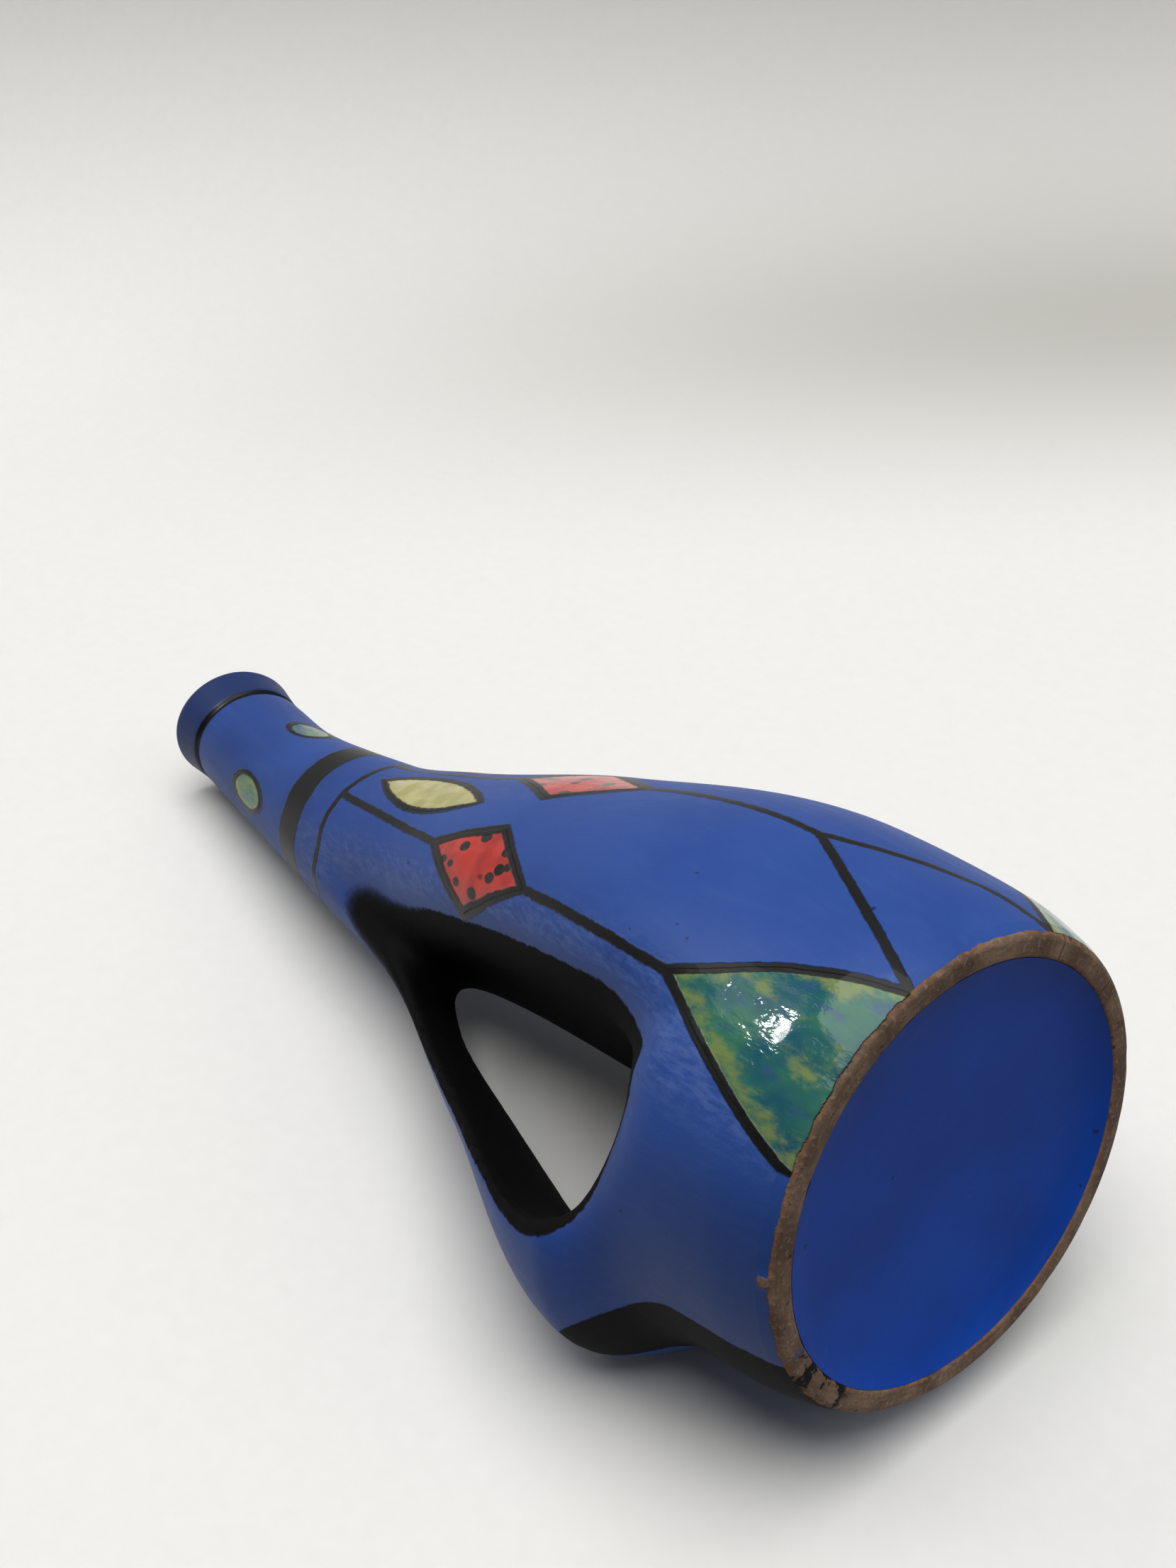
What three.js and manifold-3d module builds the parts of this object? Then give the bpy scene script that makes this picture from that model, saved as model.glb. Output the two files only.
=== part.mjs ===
// A maiolica jug: a leaning bottle form with a finger opening pierced between body and handle.
// Millimetres, +Z up. The jug stands on its foot ring and the handle points towards +X.

import * as THREE from 'three';
import { mergeVertices } from 'three/addons/utils/BufferGeometryUtils.js';
import Module from 'manifold-3d';

const wasm = await Module();
wasm.setup();

// Heights above the table
const FOOT_HEIGHT = 3;
const LOWER_BELLY_Z = 14;
const BELLY_Z = 45;
const SHOULDER_Z = 110;
const UPPER_SHOULDER_Z = 160;
const NECK_ROOT_Z = 190;
const MOUTH_Z = 282.5;
const COLLAR_HEIGHT = 16;
const COLLAR_Z = MOUTH_Z - COLLAR_HEIGHT;
const NECK_WAIST_SHARE = 0.62;
const NECK_WAIST_Z = THREE.MathUtils.lerp(NECK_ROOT_Z, COLLAR_Z, NECK_WAIST_SHARE);

// Distance of the front wall from the axis, at those heights
const FOOT_RADIUS = 47.2;
const LOWER_BELLY_RADIUS = 50.8;
const BELLY_RADIUS = 52.7;
const SHOULDER_RADIUS = 40.6;
const UPPER_SHOULDER_RADIUS = 25.2;
const NECK_ROOT_RADIUS = 17.2;
const NECK_WAIST_RADIUS = 14.1;
const COLLAR_RADIUS = 15.4;
const COLLAR_FORWARD = 1.2;

// The mouth is tipped forward, away from the handle, and the collar leans that way too
const MOUTH_TILT = THREE.MathUtils.degToRad(15.5);
const COLLAR_LEAN = THREE.MathUtils.degToRad(7.5);
const TILT_START_SHARE = 0.3;
const TILT_START_Z = THREE.MathUtils.lerp(NECK_ROOT_Z, COLLAR_Z, TILT_START_SHARE);

// Handle line: how far the outer face of the handle stands from the axis
const HEEL_LOW_Z = 33;
const HEEL_Z = 51;
const STRAP_Z = 100;
const STRAP_TOP_Z = 155;
const HEEL_REACH = 66.6;
const STRAP_REACH = 49.6;
const STRAP_TOP_REACH = 30.4;
const NECK_ROOT_REACH = 25.2;
const NECK_WAIST_REACH = 18.4;
const LOBE_ANGLE = THREE.MathUtils.degToRad(52);
const HEEL_JOINT_ANGLE = THREE.MathUtils.degToRad(36);

// Finger opening: a rounded triangle, pointed at the neck, that flares down towards both faces
const OPENING_TOP_X = 23.2;
const OPENING_TOP_Z = 171;
const OPENING_WALL_X = 13;
const OPENING_HEEL_X = 57.6;
const OPENING_LEDGE_Z = 53.5;
const OPENING_BOW = 3;
const OPENING_TOP_ROUND = 22;
const OPENING_WALL_ROUND = 26;
const OPENING_HEEL_ROUND = 24;
const FLARE_SLOPE = 0.46;
const FLARE_ROUND = 8;
const STRAP_SWELL = 2;
const STRAP_SWELL_REACH = 18;
const STRAP_JOINT_DROP = 6;
const RIM_ROLL = 12;
const RIM_ROLL_TOP = 3;

// Clay thickness and small forms
const WALL = 5;
const NECK_WALL = 4.4;
const BASE_THICKNESS = 6;
const BASE_DISH = 2.6;
const RING_WIDTH = 4.2;
const RING_EDGE = 1;
const GROOVE_DEPTH = 0.9;
const GROOVE_HEIGHT = 3;
const RIM_RADIUS = 16.9;
const RIM_ROUND = 1.8;
const RIM_SWELL = 0.5;
const MOUTH_RADIUS = 12.6;

const JOINT_GAP = 0.3;
const NECK_JOINT_DROP = 4;
const NECK_JOINT_Z = NECK_ROOT_Z - NECK_JOINT_DROP;

// Facets
const AROUND = 44;
const OPENING_AROUND = 72;
const LEVEL_STEP = 9;
const HOLLOW_STEP = 18;
const DISH_RINGS = 4;
const RIM_SHARES = [0.4, 0.6, 0.72, 0.82, 0.9, 0.95, 0.98, 0.995, 1.01];
const OVERSHOOT = 1;
const SEARCH_STEPS = 30;
const FAR = 120;
const WELD_DISTANCE = 1e-4;

// Cubic through the given [position, value] points that never overshoots between them.
function smoothCurve(points) {
  const slope = (i) => (points[i + 1][1] - points[i][1]) / (points[i + 1][0] - points[i][0]);
  const tangents = points.map((point, i) => {
    if (i === 0) return slope(0);
    if (i === points.length - 1) return slope(i - 1);
    const before = slope(i - 1);
    const after = slope(i);
    return before * after <= 0 ? 0 : (2 * before * after) / (before + after);
  });
  return (x) => {
    const last = points.length - 2;
    const next = points.findIndex((point) => point[0] > x);
    const i = next < 0 ? last : THREE.MathUtils.clamp(next - 1, 0, last);
    const width = points[i + 1][0] - points[i][0];
    const t = (x - points[i][0]) / width;
    const rise = points[i + 1][1] - points[i][1];
    const startBend = tangents[i] * width - rise;
    const endBend = rise - tangents[i + 1] * width;
    const bend = t * (1 - t) * ((1 - t) * startBend + t * endBend);
    return points[i][1] + t * rise + bend;
  };
}

const frontLine = smoothCurve([
  [0, FOOT_RADIUS],
  [LOWER_BELLY_Z, LOWER_BELLY_RADIUS],
  [BELLY_Z, BELLY_RADIUS],
  [SHOULDER_Z, SHOULDER_RADIUS],
  [UPPER_SHOULDER_Z, UPPER_SHOULDER_RADIUS],
  [NECK_ROOT_Z, NECK_ROOT_RADIUS],
  [NECK_WAIST_Z, NECK_WAIST_RADIUS],
  [COLLAR_Z, COLLAR_RADIUS + COLLAR_FORWARD],
]);

const handleLine = smoothCurve([
  [HEEL_LOW_Z, frontLine(HEEL_LOW_Z)],
  [HEEL_Z, HEEL_REACH],
  [STRAP_Z, STRAP_REACH],
  [STRAP_TOP_Z, STRAP_TOP_REACH],
  [NECK_ROOT_Z, NECK_ROOT_REACH],
  [NECK_WAIST_Z, NECK_WAIST_REACH],
  [COLLAR_Z, COLLAR_RADIUS - COLLAR_FORWARD],
]);

const backLine = (z) => (z < HEEL_LOW_Z ? frontLine(z) : handleLine(z));

// Moves a point of the neck or collar up or down so that the mouth slopes down to the front.
function tip(point) {
  const share = THREE.MathUtils.smoothstep(point.z, TILT_START_Z, COLLAR_Z);
  point.z += Math.tan(MOUTH_TILT) * share * point.x;
  return point;
}

// How far the outer face stands from the axis. Low down the form is round and the handle stands out
// of it as a lobe at +X. Higher up the lobe melts into a round neck that leans to +X.
function reachAt(angle, z, lobeShare) {
  const excess = backLine(z) - frontLine(z);
  const towardsNeck = THREE.MathUtils.smoothstep(z, SHOULDER_Z, NECK_ROOT_Z);
  const lean = (excess / 2) * towardsNeck;
  const lobe = excess * (1 - towardsNeck) * lobeShare;
  const bump = Math.max(0, 1 - (angle / LOBE_ANGLE) ** 2) ** 2;
  return frontLine(z) + lean * (1 + Math.cos(angle)) + lobe * bump;
}

// Ring of points at height z, grown by the given margin.
function section(z, margin, lobeShare) {
  return Array.from({ length: AROUND }, (_, i) => {
    const angle = (i / AROUND) * Math.PI * 2;
    const radius = reachAt(Math.min(angle, Math.PI * 2 - angle), z, lobeShare) + margin;
    return tip(new THREE.Vector3(radius * Math.cos(angle), radius * Math.sin(angle), z));
  });
}

// The largest value from 0 to end for which holds is true, found by halving. It holds up to there.
function lastWhere(holds, end) {
  let inside = 0;
  let outside = end;
  for (let halving = 0; halving < SEARCH_STEPS; halving++) {
    const middle = (inside + outside) / 2;
    if (holds(middle)) inside = middle;
    else outside = middle;
  }
  return inside;
}

// Half the width of the outer form at a height z and at x from the axis.
function halfWidth(x, z) {
  const angle = lastWhere((turn) => reachAt(turn, z, 1) * Math.cos(turn) > x, Math.PI);
  return reachAt(angle, z, 1) * Math.sin(angle);
}

// Closed solid through rings of points, each ring with as many points as the last.
function loft(rings) {
  const count = rings[0].length;
  const centre = (ring) => ring.reduce((sum, p) => sum.add(p), new THREE.Vector3()).divideScalar(count);
  const points = [...rings.flat(), centre(rings[0]), centre(rings.at(-1))];
  const bottom = rings.length * count;
  const index = [];
  for (let i = 0; i < count; i++) {
    const j = (i + 1) % count;
    for (let level = 0; level < rings.length - 1; level++) {
      const low = level * count;
      const high = low + count;
      index.push(low + i, low + j, high + j, low + i, high + j, high + i);
    }
    const top = (rings.length - 1) * count;
    index.push(bottom, j, i, bottom + 1, top + i, top + j);
  }
  const geometry = new THREE.BufferGeometry().setFromPoints(points);
  geometry.setIndex(index);
  return geometry;
}

function toSolid(geometry) {
  const bare = geometry.clone();
  bare.deleteAttribute('normal');
  bare.deleteAttribute('uv');
  const merged = mergeVertices(bare, WELD_DISTANCE);
  const mesh = new wasm.Mesh({
    numProp: 3,
    vertProperties: new Float32Array(merged.attributes.position.array),
    triVerts: new Uint32Array(merged.index.array),
  });
  return new wasm.Manifold(mesh);
}

function toGeometry(solid) {
  const mesh = solid.getMesh();
  const geometry = new THREE.BufferGeometry();
  geometry.setAttribute('position', new THREE.BufferAttribute(mesh.vertProperties, 3));
  geometry.setIndex(new THREE.BufferAttribute(mesh.triVerts, 1));
  return geometry;
}

// Evenly spaced heights that also include every height where the outline turns.
function levels(low, high, step) {
  const turns = [LOWER_BELLY_Z, HEEL_LOW_Z, BELLY_Z, HEEL_Z, SHOULDER_Z, UPPER_SHOULDER_Z, NECK_ROOT_Z];
  const between = turns.filter((z) => z > low + OVERSHOOT && z < high - OVERSHOOT);
  const stops = [low, ...between.sort((a, b) => a - b), high];
  const heights = [low];
  for (let i = 1; i < stops.length; i++) {
    const parts = Math.ceil((stops[i] - stops[i - 1]) / step);
    for (let k = 1; k <= parts; k++) heights.push(THREE.MathUtils.lerp(stops[i - 1], stops[i], k / parts));
  }
  return heights;
}

function vessel(low, high, margin, lobeShare, step = LEVEL_STEP) {
  return toSolid(loft(levels(low, high, step).map((z) => section(z, margin, lobeShare))));
}

// The larger of a and b, rounded where they come within reach of each other.
function softMax(a, b, reach) {
  const near = Math.max(reach - Math.abs(a - b), 0);
  return Math.max(a, b) + (near * near) / (4 * reach);
}

// How far a point is outside the finger opening. On the body's side its rim rolls outwards.
function openingGap(x, y, z) {
  const { clamp, lerp } = THREE.MathUtils;
  const ledge = OPENING_LEDGE_Z - FLARE_SLOPE * (Math.hypot(y, FLARE_ROUND) - FLARE_ROUND);
  const swell = STRAP_SWELL * Math.max(0, 1 - (y / STRAP_SWELL_REACH) ** 2);
  const up = (z - ledge) / (OPENING_TOP_Z - ledge);
  const bow = OPENING_BOW * (1 - Math.min((2 * up - 1) ** 2, 1));
  const wallX = lerp(OPENING_WALL_X, OPENING_TOP_X, up) - bow;
  const roll = lerp(RIM_ROLL, RIM_ROLL_TOP, clamp(up, 0, 1));
  const bend = clamp(roll - halfWidth(x, z) + Math.abs(y), 0, roll);
  const pastWall = wallX - roll + Math.sqrt(roll ** 2 - bend ** 2) - x;
  const strapLean = Math.atan2(OPENING_HEEL_X - OPENING_TOP_X, OPENING_TOP_Z - OPENING_LEDGE_Z);
  const pastStrap = (x - lerp(OPENING_HEEL_X, OPENING_TOP_X, up) + swell) * Math.cos(strapLean);
  const sides = softMax(pastWall, pastStrap, OPENING_TOP_ROUND);
  const across = clamp((x - OPENING_WALL_X) / (OPENING_HEEL_X - OPENING_WALL_X), 0, 1);
  return softMax(sides, ledge - z, lerp(OPENING_WALL_ROUND, OPENING_HEEL_ROUND, across));
}

// Outline of the finger opening, grown by the given margin. Each of its points is sought along a line
// from the middle of the opening, and sideOf gives its distance from the mid plane.
function openingOutline(sideOf, margin) {
  const middleX = (OPENING_WALL_X + OPENING_HEEL_X + OPENING_TOP_X) / 3;
  const middleZ = (2 * OPENING_LEDGE_Z + OPENING_TOP_Z) / 3;
  return Array.from({ length: OPENING_AROUND }, (_, i) => {
    const angle = (i / OPENING_AROUND) * Math.PI * 2;
    const at = (reach) => {
      const x = middleX + reach * Math.cos(angle);
      const z = middleZ + reach * Math.sin(angle);
      return new THREE.Vector3(x, sideOf(x, z), z);
    };
    return at(lastWhere((reach) => openingGap(...at(reach)) < margin, FAR));
  });
}

// The opening as a solid. Its outlines lie at shares of the way from the mid plane to each face.
function opening(margin) {
  const faceOutline = (share) => openingOutline((x, z) => share * halfWidth(x, z), margin);
  const near = [...RIM_SHARES.map(faceOutline), openingOutline(() => FAR, margin)];
  const mirrored = near.map((ring) => ring.map((p) => new THREE.Vector3(p.x, -p.y, p.z)));
  return toSolid(loft([...near.toReversed(), openingOutline(() => 0, margin), ...mirrored]));
}

// Prism between two heights over [x, y] corners listed counterclockwise. Its top may differ.
function prism(low, high, corners, topCorners = corners) {
  const ring = (z, outline) => outline.map(([x, y]) => new THREE.Vector3(x, y, z));
  return toSolid(loft([ring(low, corners), ring(high, topCorners)]));
}

// What belongs to the body and not to the handle: all below the heel, the round belly under the ledge
// of the opening, the wall to both sides of the heel, the column in front of the opening, and all above.
function bodySide(margin) {
  const ledge = OPENING_LEDGE_Z + margin;
  const peak = openingOutline(() => 0, 0).reduce((best, point) => (point.z > best.z ? point : best));
  const top = peak.z - STRAP_JOINT_DROP - margin;
  const halfSpace = (x) => [
    [-FAR, -FAR],
    [x + margin, -FAR],
    [x + margin, FAR],
    [-FAR, FAR],
  ];
  const wedgeTip = margin / Math.sin(HEEL_JOINT_ANGLE);
  const wedgeEnd = FAR + OVERSHOOT;
  const wedgeSide = wedgeEnd * Math.tan(HEEL_JOINT_ANGLE);
  const wedge = [
    [wedgeTip, 0],
    [wedgeEnd + wedgeTip, -wedgeSide],
    [wedgeEnd + wedgeTip, wedgeSide],
  ];
  const heelSide = prism(-2 * OVERSHOOT, ledge + OVERSHOOT, wedge);
  const besideHeel = prism(-OVERSHOOT, ledge, halfSpace(FAR)).subtract(heelSide);
  const below = prism(-OVERSHOOT, HEEL_LOW_Z + margin, halfSpace(FAR));
  const belly = vessel(-OVERSHOOT, ledge, margin, 0);
  const ledgeMiddle = (OPENING_WALL_X + OPENING_HEEL_X) / 2;
  const column = prism(ledge - OVERSHOOT, top + OVERSHOOT, halfSpace(ledgeMiddle), halfSpace(peak.x));
  const above = prism(top, MOUTH_Z, halfSpace(FAR));
  return below.add(belly).add(besideHeel).add(column).add(above);
}

const bodyLow = FOOT_HEIGHT + JOINT_GAP;
const pierced = vessel(bodyLow, NECK_JOINT_Z, 0, 1).subtract(opening(0));

function makeBody() {
  const hollow = vessel(bodyLow - OVERSHOOT, NECK_JOINT_Z + OVERSHOOT, -WALL, 0, HOLLOW_STEP);
  return toGeometry(pierced.intersect(bodySide(0)).subtract(hollow.subtract(opening(WALL))));
}

function makeHandle() {
  return toGeometry(pierced.subtract(bodySide(JOINT_GAP)));
}

function makeNeck() {
  const low = NECK_JOINT_Z + JOINT_GAP;
  const high = COLLAR_Z - JOINT_GAP;
  const bore = vessel(low - OVERSHOOT, high + OVERSHOOT, -NECK_WALL, 0);
  return toGeometry(vessel(low, high, 0, 0).subtract(bore));
}

function lathe(points) {
  const profile = [...points, points[0]].map(([radius, z]) => new THREE.Vector2(radius, z));
  return new THREE.LatheGeometry(profile, AROUND).rotateX(Math.PI / 2);
}

function makeLipCollar() {
  const bore = COLLAR_RADIUS - NECK_WALL;
  const groove = COLLAR_RADIUS - GROOVE_DEPTH;
  const rimZ = MOUTH_Z - RIM_ROUND;
  const rimCorner = RIM_ROUND * (1 - Math.SQRT1_2);
  const collar = lathe([
    [bore, COLLAR_Z],
    [COLLAR_RADIUS, COLLAR_Z],
    [groove, COLLAR_Z + GROOVE_HEIGHT / 2],
    [COLLAR_RADIUS, COLLAR_Z + GROOVE_HEIGHT],
    [(COLLAR_RADIUS + RIM_RADIUS) / 2 + RIM_SWELL, (COLLAR_Z + GROOVE_HEIGHT + rimZ) / 2],
    [RIM_RADIUS, rimZ],
    [RIM_RADIUS - rimCorner, MOUTH_Z - rimCorner],
    [RIM_RADIUS - RIM_ROUND, MOUTH_Z],
    [MOUTH_RADIUS + RIM_ROUND / 2, MOUTH_Z],
    [MOUTH_RADIUS, rimZ],
  ]);
  const place = collar.attributes.position;
  const point = new THREE.Vector3();
  for (let i = 0; i < place.count; i++) {
    point.fromBufferAttribute(place, i);
    point.x -= COLLAR_FORWARD + Math.tan(COLLAR_LEAN) * (point.z - COLLAR_Z);
    tip(point);
    place.setXYZ(i, point.x, point.y, point.z);
  }
  return toGeometry(toSolid(collar));
}

function makeFootRing() {
  const inner = FOOT_RADIUS - RING_WIDTH;
  const ring = lathe([
    [inner, RING_EDGE / 2],
    [inner + RING_EDGE / 2, 0],
    [FOOT_RADIUS - RING_EDGE, 0],
    [FOOT_RADIUS, RING_EDGE],
    [frontLine(FOOT_HEIGHT), FOOT_HEIGHT],
    [inner, FOOT_HEIGHT],
  ]);
  return toGeometry(toSolid(ring));
}

// The floor of the jug, dished underneath.
function makeBaseDisc() {
  const radius = frontLine(bodyLow) - WALL - JOINT_GAP;
  const ring = (share, z) =>
    Array.from({ length: AROUND }, (_, i) => {
      const angle = (i / AROUND) * Math.PI * 2;
      return new THREE.Vector3(radius * share * Math.cos(angle), radius * share * Math.sin(angle), z);
    });
  const dish = Array.from({ length: DISH_RINGS }, (_, i) => {
    const share = (i + 1) / DISH_RINGS;
    return ring(share, bodyLow + BASE_DISH * (1 - share ** 2));
  });
  return toGeometry(toSolid(loft([...dish, ring(1, bodyLow + BASE_THICKNESS)])));
}

const blueGlaze = new THREE.MeshStandardMaterial({ color: '#2f4fa8', roughness: 0.55, metalness: 0 });
const biscuit = new THREE.MeshStandardMaterial({ color: '#7a6553', roughness: 0.9, metalness: 0 });

const jug = new THREE.Group();
const pieces = [
  ['foot_ring', makeFootRing(), biscuit],
  ['base_disc', makeBaseDisc(), blueGlaze],
  ['body', makeBody(), blueGlaze],
  ['neck', makeNeck(), blueGlaze],
  ['lip_collar', makeLipCollar(), blueGlaze],
  ['handle', makeHandle(), blueGlaze],
];
for (const [name, geometry, material] of pieces) {
  const mesh = new THREE.Mesh(geometry, material);
  mesh.name = name;
  jug.add(mesh);
}

// The origin is the middle of the jug's footprint, handle included.
jug.position.x = (BELLY_RADIUS - HEEL_REACH) / 2;

export default jug;
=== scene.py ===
"""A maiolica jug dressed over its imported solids: glazed wall, lip collar, foot ring and base."""

import math
from types import SimpleNamespace

import bmesh
import bpy
import numpy as np
from mathutils import Matrix, Vector


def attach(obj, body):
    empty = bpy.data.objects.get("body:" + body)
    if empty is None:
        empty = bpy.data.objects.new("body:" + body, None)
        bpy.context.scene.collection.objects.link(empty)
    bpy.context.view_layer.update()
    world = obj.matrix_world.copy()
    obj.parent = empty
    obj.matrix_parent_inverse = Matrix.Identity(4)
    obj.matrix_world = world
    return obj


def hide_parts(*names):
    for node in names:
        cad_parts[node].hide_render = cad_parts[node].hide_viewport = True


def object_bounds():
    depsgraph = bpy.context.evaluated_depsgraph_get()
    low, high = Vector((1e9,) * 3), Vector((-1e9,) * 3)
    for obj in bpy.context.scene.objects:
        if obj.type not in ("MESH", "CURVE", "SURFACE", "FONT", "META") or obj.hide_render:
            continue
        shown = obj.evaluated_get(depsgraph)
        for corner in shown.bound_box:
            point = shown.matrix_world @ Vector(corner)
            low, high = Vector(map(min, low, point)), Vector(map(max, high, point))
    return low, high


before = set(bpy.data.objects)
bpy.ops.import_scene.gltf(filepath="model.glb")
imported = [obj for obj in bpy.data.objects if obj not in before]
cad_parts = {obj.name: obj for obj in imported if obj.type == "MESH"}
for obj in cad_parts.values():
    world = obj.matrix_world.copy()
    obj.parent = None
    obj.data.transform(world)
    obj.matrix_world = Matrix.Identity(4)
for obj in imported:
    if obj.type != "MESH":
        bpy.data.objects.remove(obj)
cad_low, cad_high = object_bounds()

MM = 0.001

# The form, in millimetres from the axis of the jug. Most are the sizes of the solids.
# The ring's width, the base and the heel's crease were measured later and differ.
AXIS_X = -6.95
FOOT_HEIGHT = 3.0
FOOT_RADIUS = 47.2
SHOULDER_Z = 110.0
NECK_ROOT_Z = 190.0
NECK_WAIST_Z = 237.4
COLLAR_Z = 266.5
MOUTH_Z = 282.5
FRONT_LINE = [(0, FOOT_RADIUS), (14, 50.8), (45, 52.7), (SHOULDER_Z, 40.6), (160, 25.2)]
FRONT_LINE += [(NECK_ROOT_Z, 17.2), (NECK_WAIST_Z, 14.1), (COLLAR_Z, 16.6)]
HEEL_LOW_Z = 33.0
HEEL_Z = 51.0
HEEL_SLOPE = 0.72
HEEL_FILLET = 6.0
HANDLE_LINE = [(HEEL_Z, 66.6), (100, 49.6), (155, 30.4)]
HANDLE_LINE += [(NECK_ROOT_Z, 25.2), (NECK_WAIST_Z, 18.4), (COLLAR_Z, 14.2)]
LOBE_ANGLE = math.radians(52)
OPENING_TOP = (23.2, 171.0)
OPENING_WALL_X = 13.0
OPENING_HEEL_X = 57.6
OPENING_LEDGE_Z = 53.5
OPENING_BOW = 3.0
FLARE_SLOPE = 0.46
FLARE_ROUND = 8.0
STRAP_SWELL = 2.0
STRAP_SWELL_REACH = 18.0
WALL = 5.0
NECK_WALL = 4.4
THINNER_Z = 150.0
RING_WIDTH = 4.9
GROOVE_HEIGHT = 3.0
RIM_RADIUS = 16.9
COLLAR_RADIUS = 15.4
MOUTH_RADIUS = 12.6
MOUTH_SLOPE = math.tan(math.radians(15.5))
TILT_START_Z = 213.0
COLLAR_LEAN = math.tan(math.radians(7.5))
COLLAR_FORWARD = 1.2
BASE_EDGE_Z = 0.35
BASE_CURL = 2.65
BASE_CURL_POWER = 14
BASE_DISH = 2.6
BASE_TOP_Z = 9.3
BASE_SLACK = 0.02

# The slight unevenness of the thrown wall: three waves and two waves round the axis
THREE_WAVES = 0.22
THREE_WAVES_RISE = 31.0
TWO_WAVES = 0.16
TWO_WAVES_RISE = 17.0
WAVES_LOW_Z = 10.0
WAVES_LOW_FADE = 30.0
WAVES_HIGH_Z = 250.0
WAVES_HIGH_FADE = 40.0

# Rounding of the corners of the opening and of its rim
TOP_ROUND = 22.0
WALL_ROUND = 26.0
HEEL_ROUND = 24.0
STRAP_RIM = 4.2
WALL_RIM = 16.0
LEDGE_RIM = 8.0
SIDE_BLEND = 24.0
LEDGE_BLEND = 16.0

# How far the black lining of the opening reaches on to each side of its rim
STRAP_LINING = 2.4
WALL_LINING = 2.8
TIP_LINING = 3.0
TIP_LOW_Z = 140.0
TIP_RUN = 30.0
HEEL_LINING = 2.0
HEEL_SIDE_X = 26.0
HEEL_SIDE_RUN = 22.0
LEDGE_EDGE = 3.0
LINING_FAR = 50.0

# Wear of the foot ring, and a small lump of clay on its edge
BITE = 0.1
BITE_FROM = 0.9
WORN_HEIGHT = 1.2
CRUMB = 1.3
CRUMB_ANGLE = math.radians(40)
CRUMB_Z = 1.6
CRUMB_PROUD = 0.9
CRUMB_LOW_Z = 1.2
CRUMB_TALL = 1.5

# Fineness of the meshes, and the box in which the wall's skin is looked for
SKIN_STEP = 1.5
SKIN_HALF = 56.0
SKIN_HANDLE_X = 70.0
RELAXES = 3
PULLS = 3
LONGEST_PULL = 1.0
SLOPE_STEP = 0.05
LEAST_STEEP = 0.2
CUT_SLACK = 0.1
AROUND_COLLAR = 112
AROUND_FOOT = 360
AROUND_BASE = 160
ACROSS_BASE = 32
WALL_CREASE = 62
CREASE = 50


def smooth_curve(points):
    """The cubic through (position, value) points that never overshoots, for arrays."""
    at = np.array([p[0] for p in points], float)
    value = np.array([p[1] for p in points], float)
    slope = np.diff(value) / np.diff(at)
    before, after = slope[:-1], slope[1:]
    both = np.where(before + after == 0, 1, before + after)
    inner = np.where(before * after <= 0, 0, 2 * before * after / both)
    tangent = np.concatenate([slope[:1], inner, slope[-1:]])

    def curve(x):
        i = np.clip(np.searchsorted(at, x, side="right") - 1, 0, len(at) - 2)
        width = at[i + 1] - at[i]
        t = (x - at[i]) / width
        rise = value[i + 1] - value[i]
        start_bend = tangent[i] * width - rise
        end_bend = rise - tangent[i + 1] * width
        return value[i] + t * rise + t * (1 - t) * ((1 - t) * start_bend + t * end_bend)

    return curve


front_line = smooth_curve(FRONT_LINE)
handle_line = smooth_curve([(HEEL_LOW_Z, float(front_line(HEEL_LOW_Z)))] + HANDLE_LINE)


def smooth_max(a, b, reach):
    """The larger of a and b, rounded where they come within reach of each other."""
    near = np.maximum(reach - np.abs(a - b), 0)
    return np.maximum(a, b) + near * near / (4 * reach)


def ease(x):
    """0 up to 0, 1 from 1 and smooth between."""
    x = np.clip(x, 0, 1)
    return x * x * (3 - 2 * x)


def blended(share, first, second):
    """First where share is 0, second where it is 1."""
    return first + (second - first) * share


def tipped(points):
    """Points of the neck and collar moved so that the mouth slopes down to the front."""
    x, y, z = np.asarray(points, float).T
    share = ease((z - TILT_START_Z) / (COLLAR_Z - TILT_START_Z))
    return np.stack([x, y, z + MOUTH_SLOPE * share * x], 1)


def thrown_waver(angle, z):
    """The unevenness of the thrown wall, which dies out towards the foot and the collar."""
    waver = THREE_WAVES * np.sin(3 * angle + z / THREE_WAVES_RISE)
    waver = waver + TWO_WAVES * np.sin(2 * angle - z / TWO_WAVES_RISE + 1)
    waver = waver * ease((z - WAVES_LOW_Z) / WAVES_LOW_FADE)
    return waver * ease((WAVES_HIGH_Z - z) / WAVES_HIGH_FADE)


def outer_gap(x, y, z, lobe_share=1.0):
    """How far a point is outside the glazed form, handle included."""
    front = front_line(z)
    below = (z - HEEL_LOW_Z) * HEEL_SLOPE
    excess = np.where(z < HEEL_LOW_Z, below, handle_line(z) - front)
    excess = np.where(z < HEEL_Z, smooth_max(excess, 0, HEEL_FILLET), excess)
    to_neck = ease((z - SHOULDER_Z) / (NECK_ROOT_Z - SHOULDER_Z))
    angle = np.arctan2(y, x)
    lobe = np.maximum(0, 1 - (angle / LOBE_ANGLE) ** 2) ** 2
    lean = excess / 2 * to_neck * (1 + np.cos(angle))
    reach = front + lean + lobe_share * excess * (1 - to_neck) * lobe
    return np.hypot(x, y) - reach - thrown_waver(angle, z)


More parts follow.
